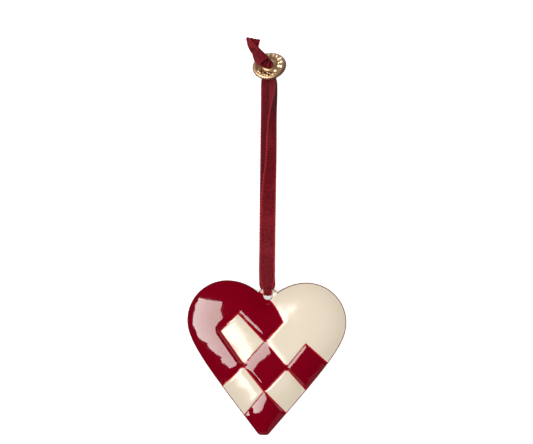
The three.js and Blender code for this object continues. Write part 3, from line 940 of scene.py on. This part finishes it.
def stroke_relief(radius, angle):
    """Height of the strokes over the field, in mm."""
    lift = np.zeros_like(radius)

    def blob(at, middle, half_length, half_width, height, twist=0.0):
        """A soft stroke at an angle in degrees, whose long way points outwards."""
        turn = (angle - math.radians(at) + math.pi) % (2 * math.pi) - math.pi
        along, aside = radius * np.cos(turn) - middle, radius * np.sin(turn)
        c, s = math.cos(math.radians(twist)), math.sin(math.radians(twist))
        along, aside = along * c + aside * s, aside * c - along * s
        over = np.maximum(np.abs(along) - half_length, 0)
        away = np.sqrt(over**2 + aside**2) / half_width
        return height * np.clip(1 - away**2, 0, 1) ** 0.7

    for at, middle, twist in ((-24, 4.15, 0), (-1, 4.3, 4), (21, 4.7, -12)):
        lift = np.maximum(lift, blob(at, middle, 0.6, 0.48, 0.5, twist))
    for at in (42, 59, 80, 101):
        lift = np.maximum(lift, blob(at, 4.95, 0.1, 0.45, 0.35))
    lift = np.maximum(lift, blob(-62, 3.7, 0.3, 0.55, 0.4, 30))
    for at in range(196, 290, 13):
        lift = np.maximum(lift, blob(at, 4.1, 0.5, 0.6, 0.25, 25))
    for k, at in enumerate(range(202, 300, 11)):
        lift = lift - blob(at, 3.7 + 0.42 * (k % 3), 0.15 * (k % 2), 0.42, 0.9, 40)
    return lift


def make_disc():
    start_piece()
    bpy.ops.mesh.primitive_torus_add(
        major_segments=DISC_AROUND, minor_segments=DISC_RING, major_radius=1, minor_radius=0.25
    )
    disc = bpy.context.object
    ring = points_of(disc)
    angle = np.arctan2(ring[:, 1], ring[:, 0])
    turn = np.arctan2(ring[:, 2], np.hypot(ring[:, 0], ring[:, 1]) - 1)
    closed = np.array(DISC_PROFILE + DISC_PROFILE[:1])
    run = np.concatenate([[0], np.cumsum(np.linalg.norm(np.diff(closed, axis=0), axis=1))])
    share = (0.5 - turn / (2 * math.pi)) % 1
    radius = np.interp(share * run[-1], run, closed[:, 0])
    height = np.interp(share * run[-1], run, closed[:, 1])
    front = height > DISC_FRONT
    in_field = front & (radius > FIELD_FROM) & (radius < FIELD_TO)
    relief = np.where(in_field, stroke_relief(radius, angle), 0)
    edge = np.clip((radius - RIM_FROM) / RIM_OVER, 0, 1)
    ripple = np.sin(RIPPLES * angle)
    out_of_round = 1 + 0.004 * np.sin(3 * angle + 0.5)
    radius = radius * out_of_round + edge * RIPPLE * ripple
    worn = 0.05 * np.sin(2 * angle + 1) * np.sin(radius)
    slope = np.cross(DISC_NORMAL, DISC_ACROSS)
    points = (DISC_CENTRE
              + DISC_ACROSS * (radius * np.cos(angle) * MM)[:, None]
              + slope * (radius * np.sin(angle) * MM)[:, None]
              + DISC_NORMAL * ((height + relief + worn) * MM)[:, None])
    points[:, 2] = np.maximum(points[:, 2], LOWEST_BRASS)
    move_points(disc, points)
    milled = np.clip((radius - MILLED_FROM) / MILLED_OVER, 0, 1)
    store(disc, "milling", milled * (0.6 - 0.4 * ripple))
    store(disc, "relief", np.where(front, height + relief, 0.3) - 0.4 * edge)
    face_outwards()
    return disc


disc = make_disc()

# %% [markdown]
# ### Worn brass
#
# Brass darkens in its hollows and is rubbed bright where it stands up. The stored relief says which
# is which, so the colour goes from nearly black in the pits, over brown, to pale on the strokes.
# That pale is rubbed brass and also a painted highlight, and there the brass is less metallic, so
# the soft diffuse light brightens it.

# %% The brass material
BRASS_BROWN = (0.2, 0.094, 0.041)
BRASS = (0.52, 0.34, 0.185)
BRASS_SUNK = (0.085, 0.032, 0.017)
BRASS_RUBBED_AND_HIGHLIGHT = (0.95, 0.83, 0.62)
BRASS_RIM = (0.1, 0.028, 0.018)
BRASS_STAIN = (0.2, 0.1, 0.05)


def brass_material():
    material, tree, shader = new_material("worn_brass")
    relief = attribute(tree, "relief")
    cloud = noise_value(tree, 500.0, 3.0)
    wander = maths(tree, "MULTIPLY", maths(tree, "SUBTRACT", cloud, 0.5), 0.25)
    worn = ramp(tree, maths(tree, "ADD", relief, wander), 0.1, 0.65)
    colour = mix_colours(tree, worn, BRASS_BROWN, BRASS)
    sunk = ramp(tree, relief, 0.0, 0.25, 1, 0)
    colour = mix_colours(tree, sunk, colour, BRASS_SUNK)
    # rubbed brass and painted highlight: the strokes turn pale and less metallic
    rubbed_and_highlight = ramp(tree, relief, 0.62, 0.78)
    colour = mix_colours(tree, rubbed_and_highlight, colour, BRASS_RUBBED_AND_HIGHLIGHT)
    rim_dirt = ramp(tree, attribute(tree, "milling"), 0.2, 0.9, 0, 0.75)
    colour = mix_colours(tree, rim_dirt, colour, BRASS_RIM)
    tree.links.new(ramp(tree, rubbed_and_highlight, 0, 1, 0.8, 0.4), shader.inputs["Metallic"])
    stains = use_group(tree, SPECKLE, Scale=900.0, Size=0.3, Share=0.08)
    stained = maths(tree, "MULTIPLY", stains, 0.35)
    colour = mix_colours(tree, stained, colour, BRASS_STAIN)
    tree.links.new(colour, shader.inputs["Base Color"])
    tree.links.new(ramp(tree, worn, 0, 1, 0.5, 0.36), shader.inputs["Roughness"])
    wave = use_group(tree, UNEVENNESS, Scale=600.0, Depth=0.03 * MM)
    bump(tree, shader, wave)
    shader.inputs["Coat Weight"].default_value = 0.35
    shader.inputs["Coat Roughness"].default_value = 0.2
    return material


finish_piece(disc, "brass_ring_disc", brass_material(), angle=50)
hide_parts("brass_disc")

# %% [markdown]
# ## The knot
#
# Both ends of the ribbon come up through the disc, are tied together, and leave a short tail. What
# we see is one broad smooth wrap that leans up to the left, small folds where it goes into the
# hole, and the tail, whose left flap lies over its right one. The wrap starts as a sphere that is
# stretched between its two outlines, and its folds are pressed in as grooves and steps.

# %% Stations of the wrap and lines of its folds
# left edge x, y, right edge x, y, height of the middle, half thickness, in mm
WRAP = [
    (-3.5, 109.0, -1.0, 109.7, 6.0, 1.0),
    (-4.6, 109.35, -0.75, 110.15, 6.2, 1.35),
    (-5.3, 109.75, -0.7, 110.75, 6.15, 1.6),
    (-6.25, 110.3, -1.15, 111.7, 5.9, 1.75),
    (-7.1, 110.95, -1.95, 112.65, 5.45, 1.8),
    (-7.85, 111.9, -2.8, 113.7, 4.9, 1.75),
    (-8.3, 113.1, -3.7, 114.7, 4.2, 1.6),
    (-8.7, 114.4, -4.8, 115.7, 3.4, 1.4),
    (-9.3, 115.65, -5.85, 116.7, 2.6, 1.15),
    (-9.8, 116.5, -6.5, 117.3, 2.0, 0.95),
    (-9.9, 117.1, -6.9, 117.8, 1.6, 0.75),
]
# points of each fold, its half width and depth, in mm
FOLDS = [
    ([(-2.1, 112.95), (-3.5, 111.95), (-5.2, 110.45)], 0.24, 0.95),
    ([(-3.1, 111.9), (-3.95, 110.9), (-4.75, 109.85)], 0.18, 0.55),
    ([(-2.5, 111.9), (-3.3, 110.5), (-3.6, 109.0)], 0.22, 0.75),
    ([(-1.75, 112.2), (-1.75, 110.9), (-2.05, 109.2)], 0.24, 0.85),
    ([(-4.7, 111.0), (-4.3, 110.45), (-3.7, 109.3)], 0.15, 0.45),
]
WAIST = [(-9.6, 116.0), (-7.8, 116.6)]
FOLD_STEP = 0.32  # how far the wrap stands over the folds beside it, in mm
PAINTED_HIGHLIGHT_BELOW = 112.0
LOWEST_WRAP, LOWEST_FLAP = 0.4, 0.35


def line_distance(points, line):
    line = np.asarray(line, float)
    return to_segments(points, line[:-1], line[1:])[0].min(1)


# %% Make the wrap
WRAP_SEGMENTS, WRAP_RINGS = 160, 150


def make_wrap():
    start_piece()
    bpy.ops.mesh.primitive_uv_sphere_add(
        segments=WRAP_SEGMENTS, ring_count=WRAP_RINGS, radius=1
    )
    wrap = bpy.context.object
    ball = points_of(wrap)
    t = np.arccos(np.clip(ball[:, 2], -1, 1)) / math.pi
    values = through(WRAP, t)
    left = np.column_stack([values[:, 0:2], values[:, 4]])
    right = np.column_stack([values[:, 2:4], values[:, 4]])
    middle, half = (left + right) / 2, (right - left) / 2
    around = np.arctan2(ball[:, 1], ball[:, 0])
    taper = np.clip(np.minimum(t / 0.07, (1 - t) / 0.05), 0, 1)
    taper = np.sqrt(1 - (1 - taper) ** 2)
    side = np.sign(np.cos(around)) * np.abs(np.cos(around)) ** 0.85 * taper
    up = np.sign(np.sin(around)) * np.abs(np.sin(around)) ** 0.8 * taper * values[:, 5]
    points = middle + half * side[:, None]
    points[:, 2] += up
    top = np.clip(np.sin(around) * 3, 0, 1) * np.clip(taper * 1.5, 0, 1)
    folds, shade = np.zeros((2, len(points)))
    # each fold is pressed in, and painted shade is gathered along it
    for line, width, depth in FOLDS:
        away = line_distance(points[:, :2], line) / width
        folds = np.maximum(folds, depth * np.exp(-(away**2)))
        shade = np.maximum(shade, min(1, depth * 1.2) * np.exp(-((away / 0.85) ** 2)))
    waist = line_distance(points[:, :2], WAIST) / 0.4
    shade = np.maximum(shade, 0.4 * np.exp(-(waist**2)))
    # painted highlight on the wrap's satin below the folds, kept off the folds
    ridge_highlight = np.clip((PAINTED_HIGHLIGHT_BELOW - points[:, 1]) / 1.2, 0, 1) * np.clip(1 - shade * 2.5, 0, 1)
    edge = np.array(FOLDS[0][0], float)
    run = edge[-1] - edge[0]
    beyond = ((points[:, :2] - edge[0]) @ np.array([-run[1], run[0]])) / np.linalg.norm(run)
    step = FOLD_STEP * np.clip(-beyond / 0.25 + 0.5, 0, 1)
    ribs = 0.035 * np.sin(points[:, 0] * 5.2 + points[:, 1] * 4.1)
    points[:, 2] += top * (step - folds + ribs)
    points[:, 2] = np.maximum(points[:, 2], LOWEST_WRAP)
    move_points(wrap, points * MM)
    # painted shade in the folds and the waist, and the painted highlight
    store(wrap, "shade", shade * top * 0.9)
    store(wrap, "painted_highlight", ridge_highlight * top * 0.5)
    store(wrap, "along", values[:, 1] * 1.2)
    store(wrap, "across", side * 2.4)
    return wrap


wrap = make_wrap()
print("wrap spans", (np.ptp(points_of(wrap), axis=0) / MM).round(1))

# %% [markdown]
# The tail's two flaps are grids stretched between a left and a right edge, with a little thickness.
# The cut ends are slightly frayed and wavy. The right flap lies lower and flatter, with painted
# shade along the left one's edge, and the left flap, whose satin turns to the light, gets a painted
# highlight.

# %% The tail's flaps
# left edge x, y, right edge x, y, height of the middle, in mm
LEFT_FLAP = [
    (-9.05, 114.9, -6.4, 115.6, 4.1),
    (-9.65, 115.95, -6.8, 116.6, 3.4),
    (-10.05, 116.7, -6.95, 117.15, 2.9),
    (-10.55, 117.9, -8.1, 118.4, 2.4),
    (-10.77, 119.1, -9.25, 119.6, 2.05),
    (-11.0, 120.0, -10.15, 120.5, 1.8),
    (-11.15, 120.4, -10.6, 120.95, 1.6),
]
RIGHT_FLAP = [
    (-7.9, 115.2, -5.95, 116.5, 2.7),
    (-8.2, 116.4, -6.45, 117.45, 2.0),
    (-8.7, 117.7, -6.25, 118.5, 1.3),
    (-9.6, 119.1, -6.1, 119.35, 0.9),
    (-10.3, 120.2, -5.85, 119.85, 0.75),
    (-10.65, 120.95, -6.1, 120.2, 0.7),
]
FLAP_THICKNESS = 0.35 * MM
FLAP_ALONG, FLAP_ACROSS = 90, 60


def make_flap(stations, tilt, wave, painted_highlight, seam_shade):
    """A flap whose right edge is raised by the tilt, with a wave across it, in mm."""
    start_piece()
    bpy.ops.mesh.primitive_grid_add(x_subdivisions=FLAP_ALONG, y_subdivisions=FLAP_ACROSS, size=1)
    flap = bpy.context.object
    flat = points_of(flap)
    t, across = flat[:, 0] + 0.5, flat[:, 1] + 0.5
    values = through(stations, t)
    left = np.column_stack([values[:, 0:2], values[:, 4] - tilt])
    right = np.column_stack([values[:, 2:4], values[:, 4] + tilt])
    points = left + (right - left) * across[:, None]
    points[:, 2] += wave * np.sin(across * 2 * math.pi) + 0.05 * np.sin(t * 17 + across * 5)
    ragged = np.clip((t - 0.86) / 0.14, 0, 1)
    points[:, 1] += ragged * 0.14 * np.sin(across * 21 + 1)
    points[:, 2] = np.maximum(points[:, 2], LOWEST_FLAP)
    move_points(flap, points * MM)
    # painted shade along the left flap's edge, where it lies over this flap, and a painted highlight
    # over the whole flap
    seam = line_distance(points[:, :2], [row[2:4] for row in LEFT_FLAP])
    store(flap, "shade", seam_shade * np.exp(-((seam / 0.4) ** 2)))
    store(flap, "painted_highlight", np.full(len(points), painted_highlight))
    store(flap, "along", t * 6.5)
    store(flap, "across", (across - 0.5) * 5.6)
    apply_modifier(flap, "SOLIDIFY", thickness=FLAP_THICKNESS, offset=0)
    return flap


left_flap = make_flap(LEFT_FLAP, tilt=0.75, wave=0.1, painted_highlight=0.8, seam_shade=0)
right_flap = make_flap(RIGHT_FLAP, tilt=0.1, wave=0.18, painted_highlight=0.1, seam_shade=0.85)
bpy.ops.object.select_all(action="DESELECT")
for part in (left_flap, right_flap, wrap):
    part.select_set(True)
bpy.context.view_layer.objects.active = wrap
bpy.ops.object.join()
finish_piece(wrap, "ribbon_knot_cloth", RIBBON_CLOTH, angle=60)
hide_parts("ribbon_knot")

# %% [markdown]
#
# The loop starts and ends at the disc's hole, in the knot.

# %% [markdown]
# ## Surface and light
#
# The ornament lies on white paper. One large soft window-like light stands at the left and makes
# the broad reflection on the left lobe. It is a little dimmer towards one edge, so that the
# reflection fades across the lobe. The pale room and the soft lights that fill in from above and
# from the right aren't seen in reflections, which keeps the red deep. A dim wall low down is seen in
# the steep edges of the enamel, and two cards light the brass alone, which would otherwise mirror
# the dark part of the room.

# %% Paper
start_piece()
bpy.ops.mesh.primitive_plane_add(size=6, location=(0, 0, 0))
floor = bpy.context.object
floor.name = "paper"
paper, paper_tree, paper_shader = new_material("white_paper")
paper_shader.inputs["Base Color"].default_value = (0.9, 0.9, 0.9, 1)
paper_shader.inputs["Roughness"].default_value = 0.9
paper_shader.inputs["Specular IOR Level"].default_value = 0.1
paper_shader.inputs["Emission Color"].default_value = (1, 1, 1, 1)
rays = add_node(paper_tree, "ShaderNodeLightPath")
glow = maths(paper_tree, "MULTIPLY", rays.outputs["Is Camera Ray"], 0.6)
paper_tree.links.new(glow, paper_shader.inputs["Emission Strength"])
floor.data.materials.append(paper)
floor.visible_diffuse = False

# %% Lights
LIT_POINT = Vector((0, 0.02, 0))
WARM = (1.0, 0.965, 0.92)


def area_light(name, azimuth, off_vertical, distance, size, radiance, only, colour=(1, 1, 1)):
    """Angles in degrees round the ornament and off the vertical, distance and size in metres."""
    turn, lean = math.radians(azimuth), math.radians(off_vertical)
    flat = math.sin(lean)
    direction = Vector((math.cos(turn) * flat, math.sin(turn) * flat, math.cos(lean)))
    bpy.ops.object.light_add(type="AREA", location=LIT_POINT + direction * distance)
    light = bpy.context.object
    light.name = name
    light.rotation_euler = direction.to_track_quat("Z", "Y").to_euler()
    light.data.shape = "RECTANGLE"
    light.data.size, light.data.size_y = size
    light.data.energy = radiance * math.pi * size[0] * size[1]
    light.data.color = colour
    light.visible_glossy = only != "diffuse"
    light.visible_diffuse = only != "glossy"
    return light


window = area_light("window", 177, 41, 1.4, (1.72, 1.58), 13.2, "glossy", WARM)
window.data.use_nodes = True
panes = window.data.node_tree
on_pane = add_node(panes, "ShaderNodeNewGeometry")
pane_place = add_node(panes, "ShaderNodeSeparateXYZ")
panes.links.new(on_pane.outputs["Parametric"], pane_place.inputs["Vector"])
dim = ramp(panes, pane_place.outputs["Y"], 0.05, 0.95, 1.0, 0.74)
panes.links.new(dim, panes.nodes["Emission"].inputs["Strength"])
area_light("window_glow", 163, 46, 1.6, (1.8, 1.6), 1.3, "diffuse")
area_light("ceiling", 90, 8, 1.6, (3.4, 3.4), 0.45, "diffuse")
area_light("right_fill", -15, 40, 1.8, (1.6, 1.8), 0.85, "diffuse")
area_light("far_wall", 275, 80, 1.6, (3.6, 0.5), 0.22, "glossy")
top_card = area_light("brass_card", 98, 72, 1.6, (2.4, 0.8), 0.15, "glossy")
right_card = area_light("right_card", -25, 72, 1.6, (2.0, 1.2), 0.3, "glossy")
lit_by_cards = bpy.data.collections.new("lit_by_cards")
lit_by_cards.objects.link(disc)
for card in (top_card, right_card):
    card.light_linking.receiver_collection = lit_by_cards

# %% The pale room
world = bpy.data.worlds.new("pale_room")
bpy.context.scene.world = world
world.use_nodes = True
background = world.node_tree.nodes["Background"]
background.inputs["Color"].default_value = (1, 0.99, 0.97, 1)
background.inputs["Strength"].default_value = 0.44
world.cycles_visibility.glossy = False
bpy.context.scene.view_settings.view_transform = "Standard"
